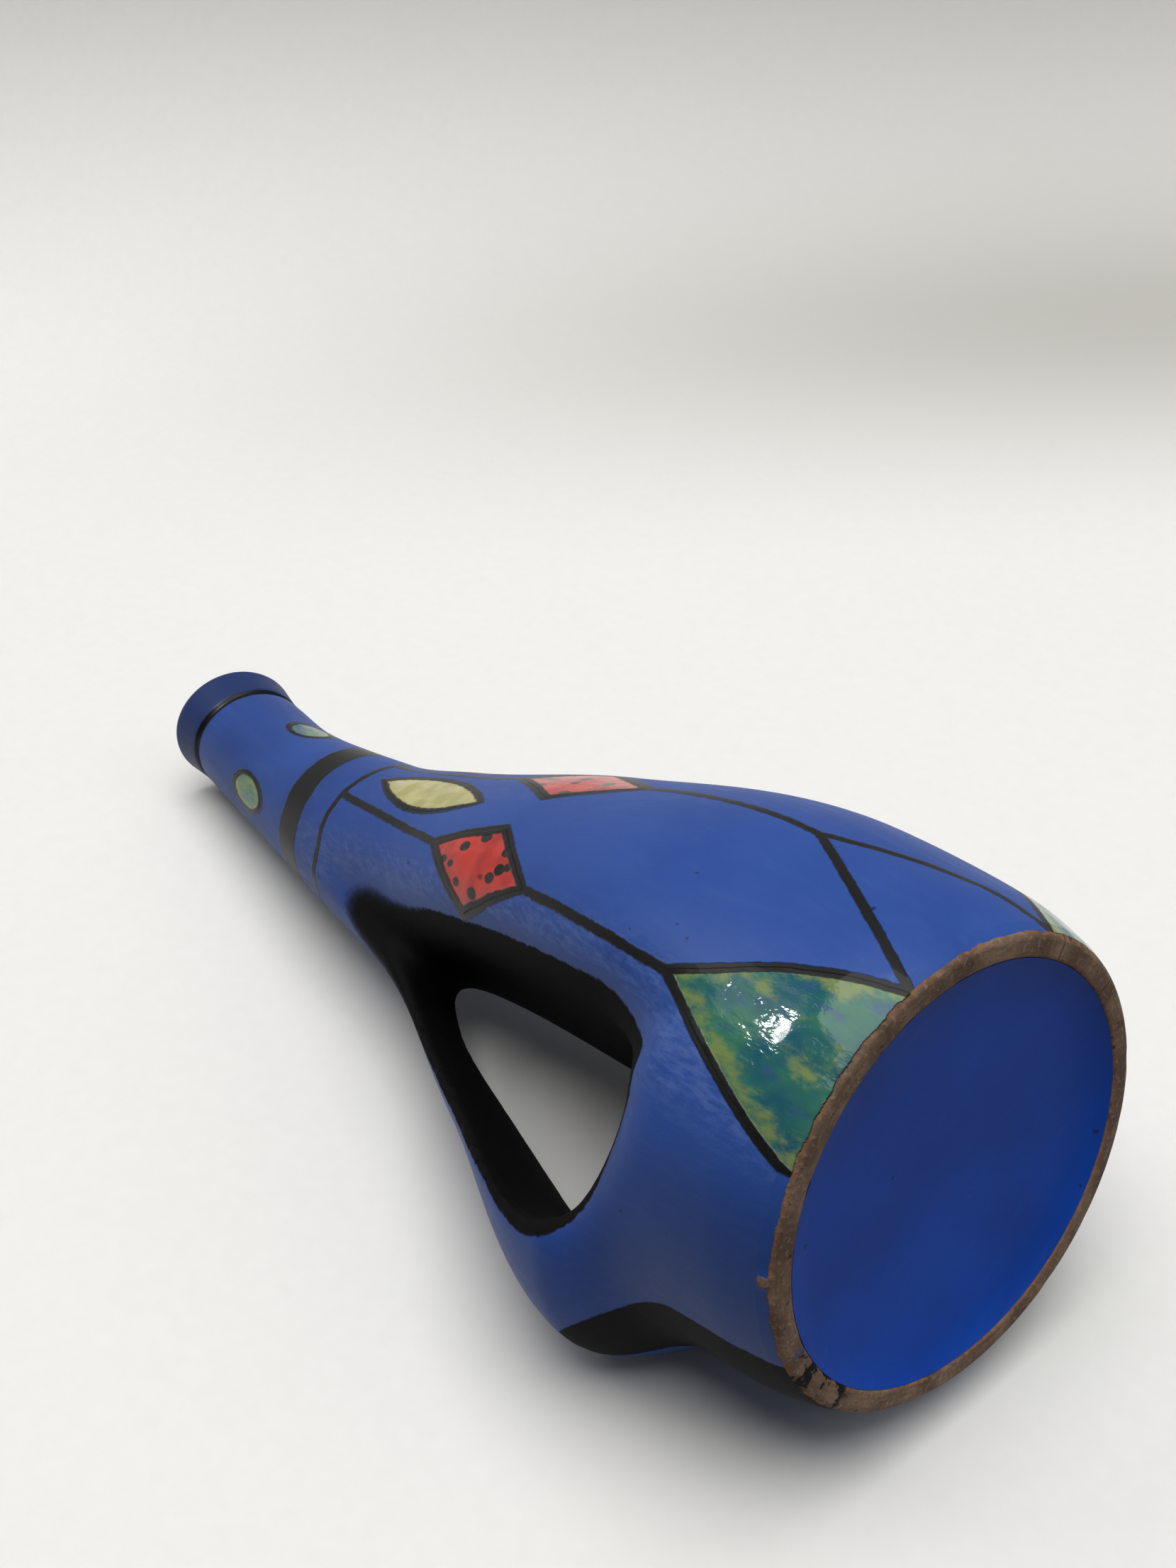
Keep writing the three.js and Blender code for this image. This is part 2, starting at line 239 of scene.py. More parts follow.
def opening_gaps(x, y, z):
    """How far a point is outside the finger opening, and how much of the nearest side is the wall
    and how much the ledge, from 0 to 1."""
    ledge = OPENING_LEDGE_Z - FLARE_SLOPE * (np.hypot(y, FLARE_ROUND) - FLARE_ROUND)
    swell = STRAP_SWELL * np.maximum(0, 1 - (y / STRAP_SWELL_REACH) ** 2)
    top_x, top_z = OPENING_TOP
    up = (z - ledge) / (top_z - ledge)
    wall_x = OPENING_WALL_X + up * (top_x - OPENING_WALL_X)
    wall_x = wall_x - OPENING_BOW * 4 * np.clip(up * (1 - up), 0, 0.25)
    strap_x = OPENING_HEEL_X - swell - up * (OPENING_HEEL_X - top_x)
    strap_tilt = np.cos(np.arctan2(OPENING_HEEL_X - top_x, top_z - OPENING_LEDGE_Z))
    past_wall, past_strap = wall_x - x, (x - strap_x) * strap_tilt
    sides = smooth_max(past_wall, past_strap, TOP_ROUND)
    wall_share = ease((past_wall - past_strap + SIDE_BLEND / 2) / SIDE_BLEND)
    ledge_share = ease((ledge - z - sides + LEDGE_BLEND / 2) / LEDGE_BLEND)
    across = np.clip((x - OPENING_WALL_X) / (OPENING_HEEL_X - OPENING_WALL_X), 0, 1)
    corner = WALL_ROUND + (HEEL_ROUND - WALL_ROUND) * across
    return smooth_max(sides, ledge - z, corner), wall_share, ledge_share


def wall_gap(points):
    """Signed distance of points from the clay of the wall: body, neck and handle as one."""
    x, y, z = points
    opening, wall_share, ledge_share = opening_gaps(x, y, z)
    rim = blended(ledge_share, blended(wall_share, STRAP_RIM, WALL_RIM), LEDGE_RIM)
    outside = smooth_max(outer_gap(x, y, z), -opening, rim)
    thickness = blended(ease((z - THINNER_Z) / (NECK_ROOT_Z - THINNER_Z)), WALL, NECK_WALL)
    hollow = smooth_max(outer_gap(x, y, z, 0.0) + thickness, WALL - opening, rim)
    return np.maximum(outside, -hollow)


def lining_depth(points):
    """How far points lie inside the black lining that spreads from the opening on to its rim."""
    x, y, z = points
    opening, wall_share, ledge_share = opening_gaps(x, y, z)
    side_edge = blended(wall_share, STRAP_LINING, WALL_LINING)
    side_edge = side_edge + TIP_LINING * ease((z - TIP_LOW_Z) / TIP_RUN)
    near_heel = ease((x - HEEL_SIDE_X) / HEEL_SIDE_RUN)
    on_ledge = blended(near_heel, -outer_gap(x, y, z) - LEDGE_EDGE, HEEL_LINING - opening)
    return blended(ledge_share, side_edge - opening, on_ledge)


def cell_points(grid, value, step):
    """A point in each cell of the grid that the surface crosses, and their numbers by cell."""
    count = np.zeros(tuple(n - 1 for n in value.shape), np.int8)
    total = np.zeros((3,) + count.shape)
    corner = [slice(None, -1), slice(1, None)]
    for axis in range(3):
        others = [a for a in range(3) if a != axis]
        for i in (0, 1):
            for j in (0, 1):
                near = [None] * 3
                near[axis], near[others[0]], near[others[1]] = corner[0], corner[i], corner[j]
                far = list(near)
                far[axis] = corner[1]
                a, b = value[tuple(near)], value[tuple(far)]
                cross = (a < 0) != (b < 0)
                share = np.where(cross, a / np.where(cross, a - b, 1), 0)
                start = grid[(slice(None),) + tuple(near)]
                total += np.where(cross, start, 0)
                total[axis] += share * step * cross
                count += cross
    used = count > 0
    number = np.full(count.shape, -1)
    number[used] = np.arange(used.sum())
    return (total[:, used] / count[used]).T, number


def cell_faces(inside, number):
    """A quad round each edge of the grid that the surface crosses, facing outwards."""
    faces = []
    for axis in range(3):
        b, c = (axis + 1) % 3, (axis + 2) % 3
        first = [slice(None)] * 3
        second = [slice(None)] * 3
        first[axis], second[axis] = slice(None, -1), slice(1, None)
        for a in (b, c):
            first[a] = second[a] = slice(1, -1)
        change = inside[tuple(first)] != inside[tuple(second)]
        at = np.argwhere(change)
        outward = inside[tuple(first)][change]
        at[:, b] += 1
        at[:, c] += 1
        ring = []
        for db, dc in ((-1, -1), (0, -1), (0, 0), (-1, 0)):
            cell = at.copy()
            cell[:, b] += db
            cell[:, c] += dc
            ring.append(number[tuple(cell.T)])
        quad = np.stack(ring, 1)
        quad[~outward] = quad[~outward][:, ::-1]
        faces.append(quad)
    return np.vstack(faces)


def relax(points, faces):
    """Each point moved half way to the middle of its neighbours."""
    total = np.zeros_like(points)
    count = np.zeros(len(points))
    for i in range(4):
        for j in ((i + 1) % 4, (i + 3) % 4):
            np.add.at(total, faces[:, i], points[faces[:, j]])
            np.add.at(count, faces[:, i], 1)
    return (points + total / count[:, None]) / 2


def pull_to(points, gap):
    """Points moved along the slope of gap, in a few pulls, on to the surface."""
    for pull in range(PULLS):
        slope = np.empty_like(points)
        for axis in range(3):
            side = np.zeros(3)
            side[axis] = SLOPE_STEP
            slope[:, axis] = gap((points + side).T) - gap((points - side).T)
        slope /= 2 * SLOPE_STEP
        steep = np.maximum((slope**2).sum(1), LEAST_STEEP)
        move = slope * (gap(points.T) / steep)[:, None]
        points = points - np.clip(move, -LONGEST_PULL, LONGEST_PULL)
    return points


def skin(gap, low, high, step):
    """Quads on the surface where gap is zero, with a corner in each cell that it crosses."""
    axes = [np.arange(a, b + step, step) for a, b in zip(low, high)]
    grid = np.stack(np.meshgrid(*axes, indexing="ij"))
    value = gap(grid)
    points, number = cell_points(grid, value, step)
    faces = cell_faces(value < 0, number)
    for turn in range(RELAXES):
        points = pull_to(relax(points, faces), gap)
    return pull_to(points, gap), faces


def cut_level(points, faces):
    """The skin cut level at the foot and at the collar, with a flat ring of clay at each cut."""
    cut = bmesh.new()
    corners = [cut.verts.new(p) for p in points]
    for face in faces:
        cut.faces.new([corners[i] for i in face])
    for height, way in ((FOOT_HEIGHT, -1), (COLLAR_Z, 1)):
        everything = cut.verts[:] + cut.edges[:] + cut.faces[:]
        bmesh.ops.bisect_plane(
            cut, geom=everything, plane_co=(0, 0, height), plane_no=(0, 0, way), clear_outer=True
        )
    ends = [edge for edge in cut.edges if edge.is_boundary]
    for level in (FOOT_HEIGHT, COLLAR_Z):
        rim = [edge for edge in ends if abs(edge.verts[0].co.z - level) < CUT_SLACK]
        bmesh.ops.bridge_loops(cut, edges=rim)
    bmesh.ops.recalc_face_normals(cut, faces=cut.faces[:])
    cut.verts.index_update()
    made = np.array([v.co for v in cut.verts]), [[v.index for v in f.verts] for f in cut.faces]
    cut.free()
    return made


def add_piece(name, points, faces, nodes, crease=CREASE):
    """A smooth mesh from points in millimetres round the jug's axis, riding with the CAD part."""
    mesh = bpy.data.meshes.new(name)
    place = (np.asarray(points) + [AXIS_X, 0, 0]) * MM
    mesh.from_pydata(place.tolist(), [], faces)
    mesh.validate()
    mesh.shade_smooth()
    mesh.set_sharp_from_angle(angle=math.radians(crease))
    piece = bpy.data.objects.new(name, mesh)
    bpy.context.scene.collection.objects.link(piece)
    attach(piece, "root")
    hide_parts(*nodes)
    return piece


def mark(piece, lining):
    """Keeps with each point how far it lies inside the black lining of the opening."""
    kept = piece.data.attributes.new("lining", "FLOAT", "POINT")
    kept.data.foreach_set("value", np.asarray(lining, np.float32))


def turned(profile, around, shape=None):
    """Points and quads of a closed profile of (radius, height) turned about the axis."""
    radius, height = np.array(profile, float).T
    angle = np.arange(around) / around * 2 * math.pi
    ring = len(profile)
    a, r = np.meshgrid(angle, radius, indexing="ij")
    z = np.tile(height, (around, 1))
    if shape:
        r, z = shape(a, r, z)
    points = np.stack([r * np.cos(a), r * np.sin(a), z], -1).reshape(-1, 3)
    i, j = np.meshgrid(np.arange(around), np.arange(ring), indexing="ij")
    here, there, next_j = i * ring, (i + 1) % around * ring, (j + 1) % ring
    quads = np.stack([here + j, there + j, there + next_j, here + next_j], -1)
    return points, quads.reshape(-1, 4).tolist()


def rounded(corners, step):
    """A closed (radius, height) outline with each (radius, height, rounding) corner rounded off."""
    outline = []
    corners = [np.array(c, float) for c in corners]
    for before, at, after in zip(corners[-1:] + corners[:-1], corners, corners[1:] + corners[:1]):
        centre, rounding = at[:2], at[2]
        if rounding == 0:
            outline.append(centre)
            continue
        start = centre + (before[:2] - centre) / np.linalg.norm(before[:2] - centre) * rounding
        end = centre + (after[:2] - centre) / np.linalg.norm(after[:2] - centre) * rounding
        for t in np.linspace(0, 1, step):
            outline.append((1 - t) ** 2 * start + 2 * t * (1 - t) * centre + t * t * end)
    return [tuple(p) for p in outline]


def make_wall():
    """Body, neck and handle as one glazed skin with the finger opening pierced through it."""
    low = (-SKIN_HALF, -SKIN_HALF, FOOT_HEIGHT - 3 * SKIN_STEP)
    high = (SKIN_HANDLE_X, SKIN_HALF, COLLAR_Z + 3 * SKIN_STEP)
    points, faces = cut_level(*skin(wall_gap, low, high, SKIN_STEP))
    nodes = ["body", "neck", "handle"]
    wall = add_piece("wall", tipped(points), faces, nodes, crease=WALL_CREASE)
    mark(wall, lining_depth(points.T))
    return wall


def make_lip_collar():
    """The flared collar round the mouth, with the groove below it."""
    bore = COLLAR_RADIUS - NECK_WALL
    groove_top = COLLAR_Z + GROOVE_HEIGHT
    outline = rounded(
        [
            (bore, COLLAR_Z, 0),
            (COLLAR_RADIUS + 0.1, COLLAR_Z - 0.2, 0),
            (COLLAR_RADIUS - 0.9, COLLAR_Z + GROOVE_HEIGHT / 2, 1.2),
            (COLLAR_RADIUS + 0.2, groove_top, 0.9),
            (COLLAR_RADIUS + 0.9, (groove_top + MOUTH_Z) / 2, 3.0),
            (RIM_RADIUS, MOUTH_Z - 1.4, 1.3),
            (RIM_RADIUS - 1.2, MOUTH_Z, 1.2),
            (MOUTH_RADIUS + 0.6, MOUTH_Z, 1.2),
            (MOUTH_RADIUS, MOUTH_Z - 3, 1.5),
            (bore, groove_top + 3, 2.5),
        ],
        5,
    )
    points, faces = turned(outline, AROUND_COLLAR)
    points[:, 0] -= COLLAR_FORWARD + COLLAR_LEAN * (points[:, 2] - COLLAR_Z)
    return add_piece("collar", tipped(points), faces, ["lip_collar"])


def make_foot_ring():
    """The bare ring that the jug stands on, with worn edges and a lump of clay."""
    inner = FOOT_RADIUS - RING_WIDTH
    joint = float(front_line(FOOT_HEIGHT))
    outline = rounded(
        [
            (inner, 0.5, 0.2),
            (inner + 0.4, 0, 0.3),
            (FOOT_RADIUS - 1.0, 0, 0.5),
            (FOOT_RADIUS - 0.1, 0.9, 0.5),
            (joint, FOOT_HEIGHT, 0),
            (joint - 1, FOOT_HEIGHT + 0.6, 0),
            (inner, FOOT_HEIGHT + 0.6, 0),
        ],
        4,
    )

    def worn(angle, radius, height):
        bite = np.sin(7 * angle + 0.4) + np.sin(17 * angle + 2.1) + np.sin(41 * angle + 1.3)
        bite = BITE * np.maximum(bite - BITE_FROM, 0)
        low = np.clip((WORN_HEIGHT - height) / WORN_HEIGHT, 0, 1)
        middle = FOOT_RADIUS - RING_WIDTH / 2
        outside = radius > middle
        lump = np.exp(-(((angle - CRUMB_ANGLE) * FOOT_RADIUS / CRUMB) ** 2)) * outside
        lump = lump * np.clip(1.2 - np.abs(height - CRUMB_LOW_Z) / CRUMB_TALL, 0, 1)
        return radius + CRUMB_PROUD * lump - bite * low * np.sign(radius - middle), height

    points, faces = turned(outline, AROUND_FOOT, worn)
    ring = add_piece("foot", points, faces, ["foot_ring"])
    mark(ring, np.full(len(points), -LINING_FAR))
    return ring


def make_base_disc():
    """The floor of the jug: dished underneath, and curled down to the inner edge of the ring."""
    radius = FOOT_RADIUS - RING_WIDTH - BASE_SLACK
    middle_z = BASE_EDGE_Z + BASE_CURL + BASE_DISH
    share = np.sin(np.linspace(0, math.pi / 2, ACROSS_BASE + 1)[1:])
    under_z = middle_z - BASE_CURL * share**BASE_CURL_POWER - BASE_DISH * share**2
    outline = list(zip(radius * share, under_z))
    outline += [(radius, BASE_TOP_Z)] + [(radius * i / 4, BASE_TOP_Z) for i in (3, 2, 1)]
    angle = np.arange(AROUND_BASE) / AROUND_BASE * 2 * math.pi
    points = [(r * math.cos(a), r * math.sin(a), z) for a in angle for r, z in outline]
    under, above = len(points), len(points) + 1
    points += [(0, 0, middle_z), (0, 0, BASE_TOP_Z)]
    last = len(outline) - 1
    faces = []
    for i in range(AROUND_BASE):
        here, there = i * len(outline), (i + 1) % AROUND_BASE * len(outline)
        faces += [(here + j, there + j, there + j + 1, here + j + 1) for j in range(last)]
        faces += [(under, there, here), (above, here + last, there + last)]
    return add_piece("base", points, faces, ["base_disc"])


class Value:
    """A number or colour on its way through a material. Arithmetic on it adds Math nodes."""

    def __init__(self, finish, socket):
        self.finish = finish
        self.socket = socket

    def math(self, operation, *others):
        values = dict(enumerate(others))
        return self.finish.node("ShaderNodeMath", {"operation": operation}, values)

    def __add__(self, other):
        return self.math("ADD", self, other)

    def __sub__(self, other):
        return self.math("SUBTRACT", self, other)

    def __mul__(self, other):
        return self.math("MULTIPLY", self, other)

    def __truediv__(self, other):
        return self.math("DIVIDE", self, other)

    def __rsub__(self, other):
        return self.math("SUBTRACT", other, self)

    def __rtruediv__(self, other):
        return self.math("DIVIDE", other, self)

    def __pow__(self, other):
        return self.math("POWER", self, other)

    def __abs__(self):
        return self.math("ABSOLUTE", self)

    __radd__ = __add__
    __rmul__ = __mul__

    def at_least(self, other):
        return self.math("MAXIMUM", self, other)

    def at_most(self, other):
        return self.math("MINIMUM", self, other)


class Finish:
    """A material being built: one Principled shader and the nodes that feed it."""

    def __init__(self, name):
        self.material = bpy.data.materials.new(name)
        self.material.use_nodes = True
        self.tree = self.material.node_tree
        self.shader = self.tree.nodes["Principled BSDF"]

    @classmethod
    def of_world(cls, world):
        sky = cls.__new__(cls)
        sky.tree = world.node_tree
        sky.shader = sky.tree.nodes["Background"]
        return sky

    def node(self, kind, settings, sockets, output=0):
        made = self.tree.nodes.new(kind)
        for key, value in settings.items():
            setattr(made, key, value)
        for key, value in sockets.items():
            self.feed(made.inputs[key], value)
        return Value(self, made.outputs[output])

    def feed(self, socket, value):
        if isinstance(value, Value):
            self.tree.links.new(value.socket, socket)
        else:
            socket.default_value = value

    def place(self):
        return self.node("ShaderNodeTexCoord", {}, {}, "Object")

    def part(self, place, axis):
        """One coordinate of a place, in millimetres."""
        return self.node("ShaderNodeSeparateXYZ", {}, {"Vector": place}, axis) * (1 / MM)

    def along(self, place, way):
        """How far a place lies along a way."""
        sockets = {0: place, 1: way}
        return self.node("ShaderNodeVectorMath", {"operation": "DOT_PRODUCT"}, sockets, "Value")

    def stretched(self, place, scale):
        return self.node("ShaderNodeVectorMath", {"operation": "MULTIPLY"}, {0: place, 1: scale})

    def noise(self, place, size, detail=2.0, rough=0.5):
        """Soft noise round 0.5, its blotches about size millimetres across."""
        sockets = {"Vector": place, "Scale": 1 / (size * MM), "Detail": detail, "Roughness": rough}
        return self.node("ShaderNodeTexNoise", {}, sockets)

    def rise(self, value, start, end):
        """0 before start, 1 after end and smooth between. The end may come before the start."""
        sockets = {"Value": value, "From Min": start, "From Max": end}
        return self.node("ShaderNodeMapRange", {"interpolation_type": "SMOOTHSTEP"}, sockets)

    def mix(self, share, first, second):
        """First colour where share is 0, second where it is 1."""
        sockets = {"Factor": share, 6: first, 7: second}
        return self.node("ShaderNodeMix", {"data_type": "RGBA"}, sockets, 2)

    def blend(self, share, first, second):
        """First number where share is 0, second where it is 1."""
        sockets = {"Factor": share, 2: first, 3: second}
        return self.node("ShaderNodeMix", {"data_type": "FLOAT"}, sockets)

    def shine(self, **sockets):
        for key, value in sockets.items():
            self.feed(self.shader.inputs[key.replace("_", " ")], value)

    def raise_by(self, height, reach):
        """Relief on the surface: height 1 stands reach millimetres proud."""
        sockets = {"Height": height, "Distance": reach * MM, "Strength": 1.0}
        relief = self.node("ShaderNodeBump", {}, sockets)
        self.feed(self.shader.inputs["Normal"], relief)
        return relief

    def cover(self, share, shader):
        """Lays another shader over this one where share is 1."""
        own = Value(self, self.shader.outputs[0])
        covered = self.node("ShaderNodeMixShader", {}, {0: share, 1: own, 2: shader})
        self.feed(self.tree.nodes["Material Output"].inputs["Surface"], covered)


def paint(code):
    """A colour from its hex code, as Blender's linear numbers."""
    parts = [int(code[i : i + 2], 16) / 255 for i in (1, 3, 5)]
    linear = [c / 12.92 if c <= 0.04045 else ((c + 0.055) / 1.055) ** 2.4 for c in parts]
    return (*linear, 1.0)


# Glaze, clay and paper colours
BLUE = paint("#234182")
BLUE_LIGHT = paint("#2f4b86")
BLUE_DEEP = paint("#1d3978")
# Painted sheen: pale blue laid on the rim of the opening where it would catch the light
BLUE_PAINTED_SHEEN = paint("#53699c")
# Painted shade: dark greyed blue laid up the neck, over the collar and round the heel
BLUE_PAINTED_SHADE = paint("#16264e")
BASE_BLUE = paint("#06378e")
BASE_DEEP = paint("#06307e")
BASE_LIGHT = paint("#164590")
BLACK = paint("#070708")
LINING_PALE = paint("#0d0d0e")
TEAL = paint("#144557")
GREEN = paint("#2f624e")
YELLOW_GREEN = paint("#6a7740")
ENAMEL_BLUE = paint("#29436c")
RED = paint("#a52a22")
RED_DEEP = paint("#8a211d")
CREAM = paint("#a19b6c")
CREAM_DEEP = paint("#8b864e")
BISCUIT = paint("#705c4c")
BISCUIT_DARK = paint("#4a3b31")
BISCUIT_ORANGE = paint("#7d5230")
BISCUIT_PALE = paint("#847262")
PAPER = paint("#c4c4c3")
PAPER_LIGHT = paint("#c9c9c8")
# Painted shade on the paper behind the jug
PAPER_PAINTED_SHADE = paint("#9e9d99")

# Gloss of the glazes and of the bare clay
ENAMEL_ROUGH = 0.07
GLAZE_ROUGH = 0.22
GROOVE_ROUGH = 0.36
STROKE_ROUGH = 0.5
LINING_ROUGH = 0.75
TONGUE_ROUGH = 0.8
CLAY_ROUGH = 0.85
PAPER_ROUGH = 0.9
GLAZE_COAT = 0.25
STROKE_COAT = 0.22

# Relief of the finishes, in millimetres
WALL_RELIEF = 0.35
COLLAR_RELIEF = 0.02
BASE_RELIEF = 0.03

# Layout of the painted pattern, in millimetres and in radians round the axis
PANELS = 8
HALF_PANEL = math.pi / PANELS
PANEL_START = math.radians(19)
PANEL_SHIFT = HALF_PANEL - PANEL_START
PATTERN_ANGLE = 1.173
LEAF_ANGLE = 1.5
ZIGZAG_Z = 1.0
ZIGZAG_RISE = 40.0
ZIGZAG_LEAN = 0.66
GORE_LOW_Z = 30.0
LOZENGE_Z = 112.0
LOZENGE_HALF_HEIGHT = 22.0
LOZENGE_HALF_WIDTH = 10.0
LOZENGE_REACH = 9.1
LEAF_Z = 156.0
LEAF_HALF_HEIGHT = 24.0
LEAF_HALF_WIDTH = 6.2
LEAF_LEAN = 0.9
RING_Z = 188.5
BAND_Z = 206.0
BAND_HALF = 5.0
OVALS = 4
OVAL_Z = 233.0
OVAL_HALF_HEIGHT = 8.5
OVAL_NARROW = 0.045
OVAL_REACH = 5.5

# Half widths of the black lines, and how soft the edges of lines and fields are
ZIGZAG_LINE = 1.45
LOZENGE_LINE = 1.25
LEAF_LINE = 0.9
OVAL_LINE = 0.8
GORE_LINE = 1.0
RING_LINE = 1.0
LINE_SOFT = 0.25
FIELD_SOFT = 0.2

# The black tongue under the handle's heel
TONGUE_HALF = 10.4
TONGUE_FLARE = 6.0
TONGUE_END_Z = 40.0
TONGUE_END_ROUND = 12.0

# The bare clay of the foot
BARE_HALF = RING_WIDTH / 2
BARE_MIDDLE = FOOT_RADIUS - BARE_HALF
BARE_TOP_Z = 1.05
BARE_EDGE_Z = 0.8
CRACKS = (math.radians(159), math.radians(-176))
CRACK_HALF = 0.0045
SMEAR_ANGLE = 0.06
SMEAR_HALF = 0.26


def blue_ground(finish, place):
    """Matte blue brushed on in streaks: its colour, its roughness and its relief."""
    cloud = finish.noise(place, 38, 3)
    streak = finish.noise(finish.stretched(place, (1, 1, 0.16)), 2.2, 4, 0.6)
    grain = finish.noise(place, 0.55, 2)
    colour = finish.mix(finish.rise(cloud, 0.3, 0.7), BLUE_DEEP, BLUE)
    colour = finish.mix(finish.rise(streak, 0.45, 0.85) * 0.45, colour, BLUE_LIGHT)
    speck = finish.rise(finish.noise(place, 2.6, 0), 0.85, 0.87)
    colour = finish.mix(speck * 0.7, colour, BLACK)
    roughness = 0.36 + streak * 0.2
    relief = streak * 0.6 + grain * 0.25
    return colour, roughness, relief


def enamel(finish, place, near_edge):
    """Glassy mottled green, yellower near the edge of its field: its colour and its relief."""
    patch = finish.noise(place, 15, 3, 0.6)
    dab = finish.noise(finish.stretched(place, (1, 1, 0.5)), 5, 4, 0.65)
    colour = finish.mix(finish.rise(patch, 0.36, 0.66), TEAL, GREEN)
    yellow = finish.rise(dab + near_edge * 0.16, 0.54, 0.74)
    colour = finish.mix(yellow * 0.8, colour, YELLOW_GREEN)
    colour = finish.mix(finish.rise(dab, 0.44, 0.3) * 0.7, colour, ENAMEL_BLUE)
    ripple = finish.noise(finish.stretched(place, (1, 1, 0.3)), 6, 2)
    relief = patch * 4 + ripple * 5 + dab * 2.5
    return colour, relief


def dotted_red(finish, at):
    """Red glaze set with black dabs."""
    dab_place = finish.stretched(at.place, (1, 1, 0.62))
    spread = {"Vector": dab_place, "Scale": 1 / (3.7 * MM), "Randomness": 0.6}
    dabs = finish.node("ShaderNodeTexVoronoi", {}, spread)
    dabs = finish.rise(dabs + at.ragged * 0.15, 0.4, 0.32)
    cloud = finish.noise(at.place, 6, 3)
    return finish.mix(dabs, finish.mix(finish.rise(cloud, 0.35, 0.65), RED_DEEP, RED), BLACK)


def cream_glaze(finish, place):
    """Clouded cream glaze."""
    cloud = finish.noise(place, 7, 3)
    return finish.mix(finish.rise(cloud, 0.4, 0.7), CREAM_DEEP, CREAM)


def biscuit(finish, at):
    """Bare fired clay with turning marks, scuffed and stained: its colour and its relief."""
    round_the_foot = {"X": at.radius * MM, "Y": at.angle * (6 * MM)}
    round_the_foot = finish.node("ShaderNodeCombineXYZ", {}, round_the_foot)
    turning = finish.noise(round_the_foot, 0.8, 4, 0.7)
    grit = finish.noise(at.place, 1.1, 4, 0.65)
    blotch = finish.noise(at.place, 9, 3)
    scuff = finish.noise(at.place, 3.2, 4, 0.7)
    colour = finish.mix(finish.rise(blotch, 0.35, 0.65), BISCUIT_DARK, BISCUIT)
    colour = finish.mix(finish.rise(turning, 0.4, 0.62) * 0.55, colour, BISCUIT_DARK)
    colour = finish.mix(finish.rise(grit, 0.5, 0.72) * 0.6, colour, BISCUIT_PALE)
    at_edge = finish.rise(abs(at.radius - BARE_MIDDLE), BARE_HALF - 1.0, BARE_HALF)
    colour = finish.mix(at_edge * finish.rise(scuff, 0.4, 0.55) * 0.7, colour, BISCUIT_ORANGE)
    colour = finish.mix(finish.rise(scuff, 0.62, 0.68) * 0.75, colour, BLACK)
    stray = (finish.noise(at.place, 2.5, 3) - 0.5) * 0.03
    for turn in CRACKS:
        crack = finish.rise(abs(at.angle - turn + stray), CRACK_HALF, 0.002)
        colour = finish.mix(crack * 0.85, colour, BLACK)
    return colour, grit * 0.6 + scuff * 0.4 + turning * 0.4


def wall_place(finish):
    """Where a point of the wall is, in millimetres and round the axis, and how the brush strays.
    The height follows the tipped mouth and strays too."""
    place = finish.place()
    x = finish.part(place, "X") - AXIS_X
    y = finish.part(place, "Y")
    z = finish.part(place, "Z")
    waver = (finish.noise(place, 16, 2) - 0.5) * 3.2
    tip = x * finish.rise(z, TILT_START_Z, COLLAR_Z) * MOUTH_SLOPE
    return SimpleNamespace(
        place=place,
        x=x,
        y=y,
        z=z,
        angle=y.math("ARCTAN2", y, x),
        radius=(x * x + y * y) ** 0.5,
        height=z - tip + waver,
        lining=finish.node("ShaderNodeAttribute", {"attribute_name": "lining"}, {}, "Fac"),
        waver=waver,
        ragged=(finish.noise(place, 1.6, 2) - 0.5) * 0.7,
    )


